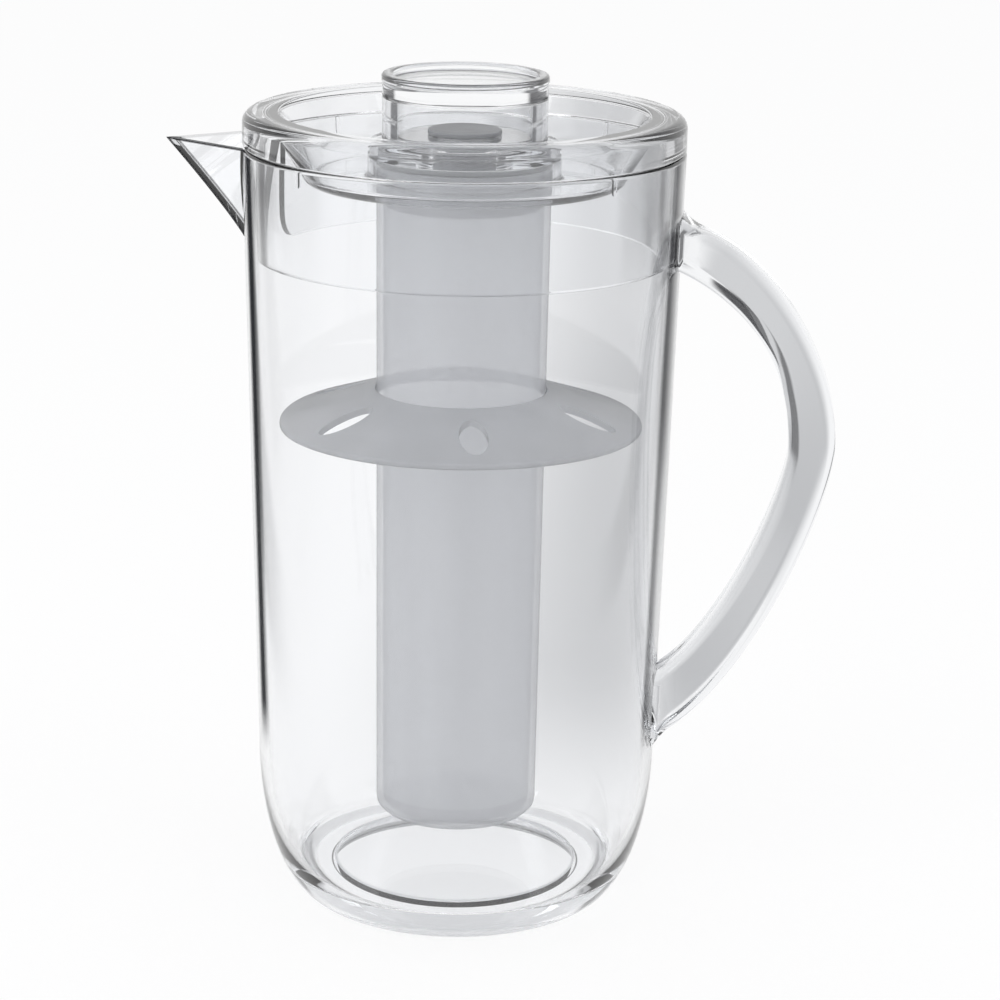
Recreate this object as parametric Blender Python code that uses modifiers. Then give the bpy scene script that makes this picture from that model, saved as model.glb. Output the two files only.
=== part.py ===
"""Fruit infusion pitcher, in metres, +Z up, standing on z = 0.

A clear jug with a bonded spout and handle carries a clear lid. A frosted tube hangs from
the lid, and a conical disc with oval holes sits on the tube.
"""

import math

import bmesh
import bpy

# Jug
RIM_Z = 0.2490
RIM_R = 0.0700
BOWL_TOP_Z = 0.0520
WALL_TAPER = 0.0049
WALL_T = 0.0032
RIM_ROUND = 0.0010
FOOT_R = 0.0452
FLOOR_T = 0.0070
FLOOR_R = 0.0500
FLOOR_BEND = 65.0
RECESS_R = 0.0412
RECESS_DEPTH = 0.0020
RECESS_SLOPE = 0.0012

# Spout
SPOUT_OUT = 0.0250
SPOUT_DROP = 0.0330
SPOUT_T = 0.0020
SPOUT_HALF_ANGLE = math.radians(36.0)
KEEL_BEND = 1.12
SPOUT_RUN_IN = 0.0040

# Handle. Drops are from the rim, and the finger gap's are from the arch outside it.
# Slopes and pulls are those of the arch's curve where it leaves the wall.
HANDLE_REACH = 0.1203
HANDLE_T = 0.0149
HANDLE_W = 0.0180
HANDLE_ROUND = 0.0042
HANDLE_PEAK_DROP = 0.0918
HANDLE_PEAK_PULL_UP = 0.0283
HANDLE_PEAK_PULL_DOWN = 0.0186
HANDLE_TOP_DROP = 0.0223
HANDLE_TOP_SLOPE = math.radians(-16.3)
HANDLE_TOP_PULL = 0.0285
HANDLE_LOW_RISE = 0.0038
HANDLE_LOW_SLOPE = math.radians(37.0)
HANDLE_LOW_PULL = 0.0415
HANDLE_FLARE = 0.0070
HANDLE_FLARE_SLOPE = math.radians(60.0)
HANDLE_ROOT = 0.0140
FINGER_PEAK_DROP = 0.0026
FINGER_PULL_UP = 0.0285
FINGER_PULL_DOWN = 0.0102
FINGER_TOP_DROP = 0.0148
FINGER_TOP_SLOPE = math.radians(-27.0)
FINGER_TOP_PULL = 0.0265
FINGER_LOW_RISE = 0.0227
FINGER_LOW_SLOPE = math.radians(38.8)
FINGER_LOW_PULL = 0.0297

# Lid ring, skirt and trough
RING_H = 0.0080
RING_W = 0.0124
RING_ROUND = 0.0022
LID_T = 0.0030
SKIRT_T = 0.0023
SKIRT_DROP = 0.0345
SKIRT_GAP = 0.0008
POUR_HALF_ANGLE = math.radians(13.5)
POUR_ROUND = 0.0095
TROUGH_DROP = 0.0107
TROUGH_SLOPE_W = 0.0084
RIB_COUNT = 4
RIB_START = math.radians(46.7)
RIB_W = 0.0014
RIB_H = 0.0062
RIB_PROUD = 0.0005

# Lid socket, with the spigot that the knob stands on
SOCKET_TOP = 0.0015
SOCKET_WALL = 0.0026
SPIGOT_H = 0.0024
SPIGOT_GAP = 0.0003

# Knob
KNOB_R = 0.0264
KNOB_BORE_R = 0.0214
KNOB_TOP = 0.0229
KNOB_PLATE_T = 0.0050
KNOB_LIP_H = 0.0022
KNOB_LIP_W = 0.0036
KNOB_ROUND = 0.0017
KNOB_BEAD = 0.0003

# Core tube and its cap
TUBE_TOP_R = 0.02775
TUBE_TAPER = 0.00145
TUBE_T = 0.0022
TUBE_BOTTOM_Z = 0.0276
TUBE_FLOOR_T = 0.0026
TUBE_ROUND = 0.0046
CAP_FLANGE_T = 0.0015
CAP_PLUG_L = 0.0150
CAP_PLUG_T = 0.0050
CAP_TOP_T = 0.0026
STUD_R = 0.0100
STUD_HEAD_R = 0.0117
STUD_HEAD_T = 0.0015
SEAL_R = 0.0010
SEAL_UP = 0.0050

# Fruit disc
DISC_GAP = 0.0062
DISC_RIM_Z = 0.1587
DISC_RISE = 0.0124
DISC_T = 0.0022
COLLAR_H = 0.0042
COLLAR_T = 0.0018
HOLE_COUNT = 6
HOLE_INNER_EDGE = 0.0067
HOLE_OUTER_EDGE = 0.0052
HOLE_WIDTH = 0.0090
HOLE_START = math.radians(-80.0)

# Clearances and facets
FIT_GAP = 0.0003
TURN_GAP = 0.0003
CUT_PAST = 0.0050
STEPS_WIDE = 64
STEPS_NARROW = 48
ARC_POINTS = 7

# Radii that follow from the sizes above
BOWL_TOP_R = RIM_R - WALL_TAPER
SPOUT_REACH = RIM_R + SPOUT_OUT
TROUGH_FLOOR_R = RIM_R - RING_W - TROUGH_SLOPE_W
TUBE_LOW_R = TUBE_TOP_R - TUBE_TAPER

# The jug's axis stands where the middle of spout and handle falls on x = 0.
AXIS_X = (SPOUT_REACH - HANDLE_REACH) / 2.0

# Heights that follow from the sizes above
HANDLE_PEAK_Z = RIM_Z - HANDLE_PEAK_DROP
HANDLE_TOP_Z = RIM_Z - HANDLE_TOP_DROP
HANDLE_LOW_Z = BOWL_TOP_Z + HANDLE_LOW_RISE
FINGER_PEAK_Z = HANDLE_PEAK_Z - FINGER_PEAK_DROP
FINGER_TOP_Z = HANDLE_TOP_Z - FINGER_TOP_DROP
FINGER_LOW_Z = HANDLE_LOW_Z + FINGER_LOW_RISE
RING_BOTTOM_Z = RIM_Z + FIT_GAP
RING_TOP_Z = RING_BOTTOM_Z + RING_H
TROUGH_BOTTOM_Z = RIM_Z - TROUGH_DROP
SKIRT_BOTTOM_Z = RIM_Z - SKIRT_DROP
LEDGE_Z = RIM_Z + SOCKET_TOP
SPIGOT_TOP_Z = LEDGE_Z + SPIGOT_H
SOCKET_CEILING_Z = LEDGE_Z - LID_T
CAP_TOP_Z = SOCKET_CEILING_Z - FIT_GAP
CAP_FLANGE_Z = CAP_TOP_Z - CAP_FLANGE_T
TUBE_TOP_Z = CAP_FLANGE_Z - FIT_GAP
CAP_PLUG_Z = CAP_FLANGE_Z - CAP_PLUG_L


def wall_r(z):
    """Outer radius of the jug's straight wall at height z."""
    share = (z - BOWL_TOP_Z) / (RIM_Z - BOWL_TOP_Z)
    return BOWL_TOP_R + (RIM_R - BOWL_TOP_R) * share


def bore_r(z):
    """Inner radius of the jug's straight wall at height z."""
    return wall_r(z) - WALL_T


def tube_r(z):
    """Outer radius of the core tube at height z."""
    share = (z - TUBE_BOTTOM_Z) / (TUBE_TOP_Z - TUBE_BOTTOM_Z)
    return TUBE_LOW_R + (TUBE_TOP_R - TUBE_LOW_R) * share


def disc_r():
    """Outer radius of the fruit disc, clear of the wall at the height of its rim."""
    return bore_r(DISC_RIM_Z) - DISC_GAP


def disc_bore_r(z):
    """Radius of the disc's bore round the tube at height z."""
    return tube_r(z) + FIT_GAP


def arc(centre, half_axes, start_deg, end_deg, count=ARC_POINTS):
    """Points of an elliptic arc in the (radius, height) plane."""
    points = []
    for i in range(count):
        angle = math.radians(start_deg + (end_deg - start_deg) * i / (count - 1))
        points.append((centre[0] + half_axes[0] * math.cos(angle),
                       centre[1] + half_axes[1] * math.sin(angle)))
    return points


def make_collection(name):
    collection = bpy.data.collections.new(name)
    bpy.context.scene.collection.children.link(collection)
    return collection


def make_material(name, colour, roughness, alpha=1.0, transmission=0.0):
    material = bpy.data.materials.new(name)
    material.use_nodes = True
    shader = material.node_tree.nodes["Principled BSDF"]
    shader.inputs["Base Color"].default_value = (*colour, 1.0)
    shader.inputs["Roughness"].default_value = roughness
    shader.inputs["Metallic"].default_value = 0.0
    shader.inputs["IOR"].default_value = 1.49
    shader.inputs["Alpha"].default_value = alpha
    shader.inputs["Transmission Weight"].default_value = transmission
    return material


def add_part(name, mesh, material):
    """A sub-part on the jug's axis."""
    part = bpy.data.objects.new(name, mesh)
    mesh.materials.append(material)
    parts.objects.link(part)
    part.parent = axis
    return part


def add_cutter(name, mesh):
    cutter = bpy.data.objects.new(name, mesh)
    cutters.objects.link(cutter)
    cutter.parent = axis
    cutter.hide_render = True
    cutter.display_type = "WIRE"
    return cutter


def turned_mesh(name, profile, closed):
    """A profile at +X that runs down its outer side."""
    mesh = bpy.data.meshes.new(name)
    edges = [(i, i + 1) for i in range(len(profile) - 1)]
    if closed:
        edges.append((len(profile) - 1, 0))
    mesh.from_pydata([(r, 0.0, z) for r, z in profile], edges, [])
    return mesh


def turn(item, steps):
    screw = item.modifiers.new("Turn", "SCREW")
    screw.axis = "Z"
    screw.steps = steps
    screw.render_steps = steps
    screw.use_merge_vertices = True
    screw.merge_threshold = 0.000001
    screw.use_smooth_shade = True


def boolean(item, cutter, operation="DIFFERENCE"):
    modifier = item.modifiers.new(operation.title(), "BOOLEAN")
    modifier.operation = operation
    modifier.solver = "EXACT"
    modifier.object = cutter


def mesh_from_bmesh(name, bm):
    bmesh.ops.recalc_face_normals(bm, faces=bm.faces)
    mesh = bpy.data.meshes.new(name)
    bm.to_mesh(mesh)
    bm.free()
    return mesh


def loft_mesh(name, sections):
    """A closed solid through sections of equal point count, capped at both ends."""
    bm = bmesh.new()
    rings = [[bm.verts.new(point) for point in section] for section in sections]
    count = len(sections[0])
    for lower, upper in zip(rings, rings[1:]):
        for i in range(count):
            j = (i + 1) % count
            bm.faces.new((lower[i], lower[j], upper[j], upper[i]))
    bm.faces.new(rings[0])
    bm.faces.new(rings[-1])
    return mesh_from_bmesh(name, bm)


# Jug

def jug_profile():
    bend = math.radians(FLOOR_BEND)
    inner_wide = (bore_r(BOWL_TOP_Z) - FLOOR_R) / (1.0 - math.cos(bend))
    bowl_inner = (inner_wide, (BOWL_TOP_Z - FLOOR_T) / math.sin(bend))
    inner_centre = (bore_r(BOWL_TOP_Z) - inner_wide, BOWL_TOP_Z)
    bowl_outer = (BOWL_TOP_R - FOOT_R, BOWL_TOP_Z)
    rounding = (RIM_ROUND, RIM_ROUND)
    profile = [(0.0, FLOOR_T)]
    profile += arc(inner_centre, bowl_inner, -FLOOR_BEND, 0.0, ARC_POINTS + 1)
    profile += arc((bore_r(RIM_Z) + RIM_ROUND, RIM_Z - RIM_ROUND), rounding, 180.0, 90.0, 3)
    profile += arc((RIM_R - RIM_ROUND, RIM_Z - RIM_ROUND), rounding, 90.0, 0.0, 3)
    profile += arc((FOOT_R, BOWL_TOP_Z), bowl_outer, 0.0, -90.0, ARC_POINTS + 2)
    profile += [(RECESS_R, 0.0), (RECESS_R - RECESS_SLOPE, RECESS_DEPTH), (0.0, RECESS_DEPTH)]
    return profile


def make_wall_cutter():
    """The space inside the jug's outer surface, for what is bonded on the wall."""
    top = RIM_Z + CUT_PAST
    profile = [(0.0, top), (wall_r(top) + FIT_GAP, top), (BOWL_TOP_R + FIT_GAP, BOWL_TOP_Z)]
    grown = (BOWL_TOP_R + FIT_GAP - FOOT_R, BOWL_TOP_Z + FIT_GAP)
    profile += arc((FOOT_R, BOWL_TOP_Z), grown, 0.0, -90.0)[1:]
    profile += [(0.0, -FIT_GAP)]
    cutter = add_cutter("wall_cutter", turned_mesh("wall_cutter", profile, False))
    turn(cutter, STEPS_WIDE)
    return cutter


def make_body(material):
    body = add_part("pitcher_body", turned_mesh("pitcher_body", jug_profile(), False), material)
    turn(body, STEPS_WIDE)
    boolean(body, add_cutter("spout_opening", spout_opening_mesh()))
    return body


# Spout

def keel_x(z):
    """Distance from the axis to the spout's outer crease at height z."""
    share = 1.0 - (RIM_Z - z) / SPOUT_DROP
    wall = wall_r(z)
    if share <= 0.0:
        return wall + (SPOUT_REACH - RIM_R) * share
    return wall + (SPOUT_REACH - RIM_R) * share ** KEEL_BEND


def spout_levels():
    """Heights of the spout's sections, from past the rim to inside the wall."""
    top = RIM_Z + CUT_PAST
    low = RIM_Z - SPOUT_DROP - SPOUT_RUN_IN
    return [top, RIM_Z] + [RIM_Z + (low - RIM_Z) * i / ARC_POINTS for i in range(1, ARC_POINTS + 1)]


def wing_end(crease, depth, z, side):
    """Point of a spout wing, at a depth behind the crease."""
    return (-crease + depth, side * depth * math.tan(SPOUT_HALF_ANGLE), z)


def make_spout(material, wall_cutter):
    bm = bmesh.new()
    rows = []
    for z in spout_levels():
        crease = keel_x(z)
        depth = max(crease - bore_r(z) + WALL_T, 2.0 * SPOUT_T)
        row = [wing_end(crease, depth, z, -1.0), (-crease, 0.0, z), wing_end(crease, depth, z, 1.0)]
        rows.append([bm.verts.new(point) for point in row])
    for upper, lower in zip(rows, rows[1:]):
        for i in range(2):
            bm.faces.new((upper[i], lower[i], lower[i + 1], upper[i + 1]))
    mesh = bpy.data.meshes.new("pour_spout")
    bm.to_mesh(mesh)
    bm.free()
    spout = add_part("pour_spout", mesh, material)
    shell = spout.modifiers.new("Wall", "SOLIDIFY")
    shell.thickness = SPOUT_T
    shell.offset = 1.0
    shell.use_even_offset = True
    boolean(spout, wall_cutter)
    boolean(spout, make_rim_cutter())
    return spout


def make_rim_cutter():
    """Everything above the rim beside the jug."""
    bm = bmesh.new()
    bmesh.ops.create_cube(bm, size=1.0)
    side = 4.0 * SPOUT_REACH
    bmesh.ops.scale(bm, vec=(side, side, 4.0 * CUT_PAST), verts=bm.verts)
    bmesh.ops.translate(bm, vec=(0.0, 0.0, RIM_Z + 2.0 * CUT_PAST), verts=bm.verts)
    return add_cutter("rim_cutter", mesh_from_bmesh("rim_cutter", bm))


def spout_opening_mesh():
    """The trough's inside, carried on through the jug's wall."""
    sections = []
    for z in spout_levels():
        crease = keel_x(z) - SPOUT_T / math.sin(SPOUT_HALF_ANGLE)
        depth = max(crease - bore_r(z) + 2.0 * WALL_T, WALL_T)
        sections.append([(-crease, 0.0, z), wing_end(crease, depth, z, 1.0),
                         wing_end(crease, depth, z, -1.0)])
    return loft_mesh("spout_opening", sections)


# Handle

def along(point, angle, length):
    return (point[0] + length * math.cos(angle), point[1] + length * math.sin(angle))


def back(point, angle, length):
    return along(point, angle + math.pi, length)


def handle_outline():
    """The arch in its own plane: place, curve handle before and after, none on straight runs.

    Both ends run on through the wall as roots, which the wall cutter takes off.
    """
    half_flare = 0.6 * HANDLE_FLARE
    flare_top = (bore_r(HANDLE_TOP_Z), HANDLE_TOP_Z + HANDLE_FLARE)
    flare_low = (bore_r(HANDLE_LOW_Z), HANDLE_LOW_Z - HANDLE_FLARE)
    shoulder = along((wall_r(HANDLE_TOP_Z), HANDLE_TOP_Z), HANDLE_TOP_SLOPE, HANDLE_FLARE)
    heel = along((wall_r(HANDLE_LOW_Z), HANDLE_LOW_Z), HANDLE_LOW_SLOPE, HANDLE_FLARE)
    finger_x = HANDLE_REACH - HANDLE_T
    finger_top = (wall_r(FINGER_TOP_Z), FINGER_TOP_Z)
    finger_low = (wall_r(FINGER_LOW_Z), FINGER_LOW_Z)
    deep_x = BOWL_TOP_R - 1.5 * HANDLE_ROOT
    return [
        (flare_top, None, along(flare_top, -HANDLE_FLARE_SLOPE, half_flare)),
        (shoulder, back(shoulder, HANDLE_TOP_SLOPE, half_flare),
         along(shoulder, HANDLE_TOP_SLOPE, HANDLE_TOP_PULL - HANDLE_FLARE)),
        ((HANDLE_REACH, HANDLE_PEAK_Z), (HANDLE_REACH, HANDLE_PEAK_Z + HANDLE_PEAK_PULL_UP),
         (HANDLE_REACH, HANDLE_PEAK_Z - HANDLE_PEAK_PULL_DOWN)),
        (heel, along(heel, HANDLE_LOW_SLOPE, HANDLE_LOW_PULL - HANDLE_FLARE),
         back(heel, HANDLE_LOW_SLOPE, half_flare)),
        (flare_low, along(flare_low, HANDLE_FLARE_SLOPE, half_flare), None),
        (back(flare_low, HANDLE_FLARE_SLOPE, HANDLE_ROOT), None, None),
        ((deep_x, HANDLE_LOW_Z), None, None),
        (back(finger_low, FINGER_LOW_SLOPE, HANDLE_ROOT), None, None),
        (finger_low, None, along(finger_low, FINGER_LOW_SLOPE, FINGER_LOW_PULL)),
        ((finger_x, FINGER_PEAK_Z), (finger_x, FINGER_PEAK_Z - FINGER_PULL_DOWN),
         (finger_x, FINGER_PEAK_Z + FINGER_PULL_UP)),
        (finger_top, along(finger_top, FINGER_TOP_SLOPE, FINGER_TOP_PULL), None),
        (back(finger_top, FINGER_TOP_SLOPE, HANDLE_ROOT), None, None),
        ((deep_x, HANDLE_TOP_Z), None, None),
        (back(flare_top, -HANDLE_FLARE_SLOPE, HANDLE_ROOT), None, None),
    ]


def make_handle(material, wall_cutter):
    curve = bpy.data.curves.new("handle_outline", "CURVE")
    curve.dimensions = "2D"
    curve.fill_mode = "BOTH"
    curve.extrude = HANDLE_W / 2.0
    curve.resolution_u = 10
    spline = curve.splines.new("BEZIER")
    spline.use_cyclic_u = True
    outline = handle_outline()
    spline.bezier_points.add(len(outline) - 1)
    for point, (place, before, after) in zip(spline.bezier_points, outline):
        point.co = (*place, 0.0)
        point.handle_left_type = "FREE" if before else "VECTOR"
        point.handle_right_type = "FREE" if after else "VECTOR"
        point.handle_left = (*(before or place), 0.0)
        point.handle_right = (*(after or place), 0.0)
    guide = bpy.data.objects.new("handle_outline", curve)
    parts.objects.link(guide)
    guide.parent = axis
    guide.rotation_euler = (math.pi / 2.0, 0.0, 0.0)
    bpy.context.view_layer.update()
    evaluated = guide.evaluated_get(bpy.context.evaluated_depsgraph_get())
    mesh = bpy.data.meshes.new_from_object(evaluated)
    mesh.name = "handle"
    mesh.materials.clear()
    mesh.transform(guide.matrix_local)
    bpy.data.objects.remove(guide)
    bm = bmesh.new()
    bm.from_mesh(mesh)
    bmesh.ops.remove_doubles(bm, verts=bm.verts, dist=0.000001)
    bmesh.ops.recalc_face_normals(bm, faces=bm.faces)
    inside_caps = [edge for edge in bm.edges if all(abs(face.normal.y) > 0.99 for face in edge.link_faces)]
    bmesh.ops.dissolve_edges(bm, edges=inside_caps)
    bm.to_mesh(mesh)
    bm.free()
    handle = add_part("handle", mesh, material)
    rounding = handle.modifiers.new("Rounded edges", "BEVEL")
    rounding.width = HANDLE_ROUND
    rounding.segments = 3
    rounding.limit_method = "ANGLE"
    rounding.angle_limit = math.radians(60.0)
    boolean(handle, wall_cutter)
    return handle


# Lid

def socket_bore_r():
    return TUBE_TOP_R + TURN_GAP


def lid_profile():
    outer = RIM_R
    ring_inner = RIM_R - RING_W
    skirt_top_r = bore_r(RIM_Z) - SKIRT_GAP
    skirt_low_r = bore_r(SKIRT_BOTTOM_Z) - SKIRT_GAP
    channel_z = RING_TOP_Z - LID_T
    slope_r = ring_inner - TROUGH_FLOOR_R
    trough_top_z = TROUGH_BOTTOM_Z + LID_T
    socket_r = socket_bore_r() + SOCKET_WALL
    ring_round = (RING_ROUND, RING_ROUND)
    under_bend = (LID_T, LID_T)
    profile = arc((outer - RING_ROUND, RING_TOP_Z - RING_ROUND), ring_round, 90.0, 0.0, 4)
    profile += [(outer, RING_BOTTOM_Z), (skirt_top_r, RING_BOTTOM_Z)]
    profile += [(skirt_low_r, SKIRT_BOTTOM_Z), (skirt_low_r - SKIRT_T, SKIRT_BOTTOM_Z)]
    profile += [(skirt_top_r - SKIRT_T, channel_z), (ring_inner + LID_T, channel_z)]
    profile += arc((TROUGH_FLOOR_R, TROUGH_BOTTOM_Z + LID_T), under_bend, 0.0, -90.0, 4)
    profile += [(socket_bore_r(), TROUGH_BOTTOM_Z), (socket_bore_r(), SOCKET_CEILING_Z)]
    profile += [(STUD_R + FIT_GAP, SOCKET_CEILING_Z), (STUD_R + FIT_GAP, SPIGOT_TOP_Z)]
    profile += [(KNOB_BORE_R - SPIGOT_GAP, SPIGOT_TOP_Z), (KNOB_BORE_R - SPIGOT_GAP, LEDGE_Z)]
    profile += [(socket_r, LEDGE_Z), (socket_r, trough_top_z)]
    profile += arc((TROUGH_FLOOR_R - LID_T, trough_top_z + LID_T), under_bend, -90.0, -30.0, 3)
    profile += [(TROUGH_FLOOR_R + slope_r - RIM_ROUND, RING_TOP_Z - RIM_ROUND), (ring_inner, RING_TOP_Z)]
    return profile


def pour_gap_mesh():
    """A wedge below the ring that opens the skirt towards the spout and rounds its lower corners."""
    near = TROUGH_FLOOR_R + 2.0 * LID_T + WALL_T
    far = RIM_R + CUT_PAST
    corner = arc((POUR_ROUND, SKIRT_BOTTOM_Z + POUR_ROUND), (POUR_ROUND, POUR_ROUND), 270.0, 180.0)
    levels = [(POUR_ROUND, SKIRT_BOTTOM_Z - CUT_PAST)] + corner + [(0.0, RING_BOTTOM_Z)]
    sections = []
    for flare, z in levels:
        slope = math.tan(POUR_HALF_ANGLE + flare / bore_r(z))
        sections.append([(-near, -near * slope, z), (-near, near * slope, z),
                         (-far, far * slope, z), (-far, -far * slope, z)])
    return loft_mesh("pour_gap", sections)


def rib_mesh(index):
    """A centring rib on the skirt, right under the ring, with a rounded lower end."""
    root = bore_r(RIM_Z) - SKIRT_GAP - 0.5 * SKIRT_T
    tip = bore_r(RIM_Z) - SKIRT_GAP + RIB_PROUD
    low_tip = tip - (wall_r(RIM_Z) - wall_r(RIM_Z - RIB_H))
    angle = RIB_START + 2.0 * math.pi * index / RIB_COUNT
    half = RIB_W / 2.0
    sections = []
    for z, out, side in ((RIM_Z + FIT_GAP + 0.5 * RING_H, tip, half), (RIM_Z - RIB_H + half, low_tip, half),
                         (RIM_Z - RIB_H, low_tip, 0.4 * half)):
        corners = ((root, -side), (out, -side), (out, side), (root, side))
        sections.append([(x * math.cos(angle) - y * math.sin(angle),
                          x * math.sin(angle) + y * math.cos(angle), z) for x, y in corners])
    return loft_mesh("rib", sections)


def make_lid(material):
    lid = add_part("lid", turned_mesh("lid", lid_profile(), True), material)
    turn(lid, STEPS_WIDE)
    boolean(lid, add_cutter("pour_gap", pour_gap_mesh()))
    for i in range(RIB_COUNT):
        boolean(lid, add_cutter("centring_rib", rib_mesh(i)), "UNION")
    return lid


def knob_profile():
    bottom_z = LEDGE_Z + FIT_GAP
    top_z = RIM_Z + KNOB_TOP
    plate_z = top_z - KNOB_LIP_H
    lip_r = KNOB_R - KNOB_LIP_W
    wall_out = KNOB_R - KNOB_BEAD
    lip_round = (KNOB_LIP_W / 2.0, KNOB_ROUND)
    profile = [(0.0, plate_z), (lip_r, plate_z)]
    profile += arc((KNOB_R - KNOB_LIP_W / 2.0, top_z - KNOB_ROUND), lip_round, 180.0, 0.0, 9)
    profile += [(KNOB_R, plate_z), (wall_out, plate_z - KNOB_BEAD)]
    profile += [(wall_out, bottom_z), (KNOB_BORE_R, bottom_z)]
    profile += [(KNOB_BORE_R, plate_z - KNOB_PLATE_T), (0.0, plate_z - KNOB_PLATE_T)]
    return profile


def make_knob(material):
    knob = add_part("lid_knob", turned_mesh("lid_knob", knob_profile(), False), material)
    turn(knob, STEPS_NARROW)
    return knob


# Core

def plug_r():
    return tube_r(CAP_PLUG_Z) - TUBE_T - TURN_GAP


def seal_z():
    return CAP_PLUG_Z + SEAL_UP


def cap_profile():
    head_z = SPIGOT_TOP_Z + FIT_GAP
    head_top_z = head_z + STUD_HEAD_T
    groove_r = plug_r() - 2.0 * SEAL_R - FIT_GAP
    groove_half = SEAL_R + FIT_GAP
    edge = 0.5 * STUD_HEAD_T
    profile = [(0.0, head_top_z), (STUD_HEAD_R - edge, head_top_z), (STUD_HEAD_R, head_top_z - edge)]
    profile += [(STUD_HEAD_R, head_z), (STUD_R, head_z), (STUD_R, CAP_TOP_Z)]
    profile += [(TUBE_TOP_R, CAP_TOP_Z), (TUBE_TOP_R, CAP_FLANGE_Z), (plug_r(), CAP_FLANGE_Z)]
    profile += [(plug_r(), seal_z() + groove_half), (groove_r, seal_z() + groove_half)]
    profile += [(groove_r, seal_z() - groove_half), (plug_r(), seal_z() - groove_half)]
    profile += [(plug_r(), CAP_PLUG_Z), (plug_r() - CAP_PLUG_T, CAP_PLUG_Z)]
    profile += [(plug_r() - CAP_PLUG_T, CAP_TOP_Z - CAP_TOP_T), (0.0, CAP_TOP_Z - CAP_TOP_T)]
    return profile


def make_cap(material):
    cap = add_part("core_cap", turned_mesh("core_cap", cap_profile(), False), material)
    turn(cap, STEPS_NARROW)
    return cap


def make_seal(material):
    """The ring lies in the cap's groove and reaches almost to the tube."""
    bpy.ops.mesh.primitive_torus_add(major_segments=STEPS_NARROW, minor_segments=8,
                                     major_radius=plug_r() - SEAL_R, minor_radius=SEAL_R)
    seal = bpy.context.object
    mesh = seal.data
    bpy.data.objects.remove(seal)
    mesh.name = "tube_seal"
    mesh.shade_smooth()
    seal = add_part("tube_seal", mesh, material)
    seal.location.z = seal_z()
    return seal


def tube_profile():
    low_inner_r = TUBE_LOW_R - TUBE_T
    floor_z = TUBE_BOTTOM_Z + TUBE_FLOOR_T
    inner_round = TUBE_ROUND - TUBE_T
    outer_bend = (TUBE_ROUND, TUBE_ROUND)
    profile = [(0.0, floor_z)]
    inner_bend = (inner_round, inner_round)
    profile += arc((low_inner_r - inner_round, floor_z + inner_round), inner_bend, -90.0, 0.0, 4)
    profile += [(TUBE_TOP_R - TUBE_T, TUBE_TOP_Z), (TUBE_TOP_R, TUBE_TOP_Z)]
    profile += arc((TUBE_LOW_R - TUBE_ROUND, TUBE_BOTTOM_Z + TUBE_ROUND), outer_bend, 0.0, -90.0, 5)
    profile += [(0.0, TUBE_BOTTOM_Z)]
    return profile


def make_tube(material):
    tube = add_part("core_tube", turned_mesh("core_tube", tube_profile(), False), material)
    turn(tube, STEPS_NARROW)
    return tube


# Fruit disc

def disc_profile():
    top_z = DISC_RIM_Z + DISC_RISE
    collar_z = top_z - COLLAR_H
    top_r = disc_bore_r(top_z)
    low_r = disc_bore_r(collar_z)
    slope = (DISC_RISE - DISC_T) / (disc_r() - top_r)
    collar_r = top_r + COLLAR_T
    rim_round = (DISC_T / 2.0, DISC_T / 2.0)
    profile = [(top_r, top_z)]
    profile += arc((disc_r() - DISC_T / 2.0, DISC_RIM_Z + DISC_T / 2.0), rim_round, 70.0, -90.0, 5)
    collar_top_z = top_z - DISC_T - slope * (collar_r - top_r)
    profile += [(collar_r, collar_top_z), (collar_r, collar_z), (low_r, collar_z)]
    return profile


def hole_cutter_mesh():
    """Upright oval posts, one for each hole."""
    inner_end = disc_bore_r(DISC_RIM_Z + DISC_RISE) + HOLE_INNER_EDGE
    outer_end = disc_r() - HOLE_OUTER_EDGE
    length = outer_end - inner_end
    bm = bmesh.new()
    for i in range(HOLE_COUNT):
        angle = HOLE_START + 2.0 * math.pi * i / HOLE_COUNT
        made = bmesh.ops.create_cone(bm, cap_ends=True, segments=20, radius1=0.5, radius2=0.5, depth=1.0)
        verts = made["verts"]
        bmesh.ops.scale(bm, vec=(length, HOLE_WIDTH, 3.0 * DISC_RISE), verts=verts)
        bmesh.ops.translate(bm, vec=((inner_end + outer_end) / 2.0, 0.0, DISC_RIM_Z), verts=verts)
        for vert in verts:
            x, y = vert.co.x, vert.co.y
            vert.co.x = x * math.cos(angle) - y * math.sin(angle)
            vert.co.y = x * math.sin(angle) + y * math.cos(angle)
    return mesh_from_bmesh("oval_holes", bm)


def make_disc(material):
    disc = add_part("fruit_disc", turned_mesh("fruit_disc", disc_profile(), True), material)
    turn(disc, STEPS_WIDE)
    boolean(disc, add_cutter("oval_holes", hole_cutter_mesh()))
    return disc


for old in list(bpy.data.objects):
    bpy.data.objects.remove(old)

parts = make_collection("fruit_infusion_pitcher")
cutters = make_collection("cutters")
axis = bpy.data.objects.new("pitcher_axis", None)
axis.location.x = AXIS_X
parts.objects.link(axis)

wall_space = make_wall_cutter()
make_body(make_material("clear_jug", (0.93, 0.94, 0.95), 0.04, 0.35, 1.0))
make_spout(make_material("clear_spout", (0.93, 0.94, 0.95), 0.04, 0.35, 1.0), wall_space)
make_handle(make_material("clear_handle", (0.94, 0.95, 0.96), 0.04, 0.45, 1.0), wall_space)
make_lid(make_material("clear_lid", (0.93, 0.94, 0.95), 0.04, 0.35, 1.0))
make_knob(make_material("clear_knob", (0.93, 0.94, 0.95), 0.04, 0.35, 1.0))
make_cap(make_material("frosted_cap", (0.42, 0.42, 0.44), 0.45))
make_seal(make_material("soft_seal", (0.75, 0.75, 0.76), 0.6))
make_tube(make_material("frosted_tube", (0.56, 0.56, 0.58), 0.4, 0.85, 0.5))
make_disc(make_material("frosted_disc", (0.46, 0.46, 0.48), 0.45))
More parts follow.
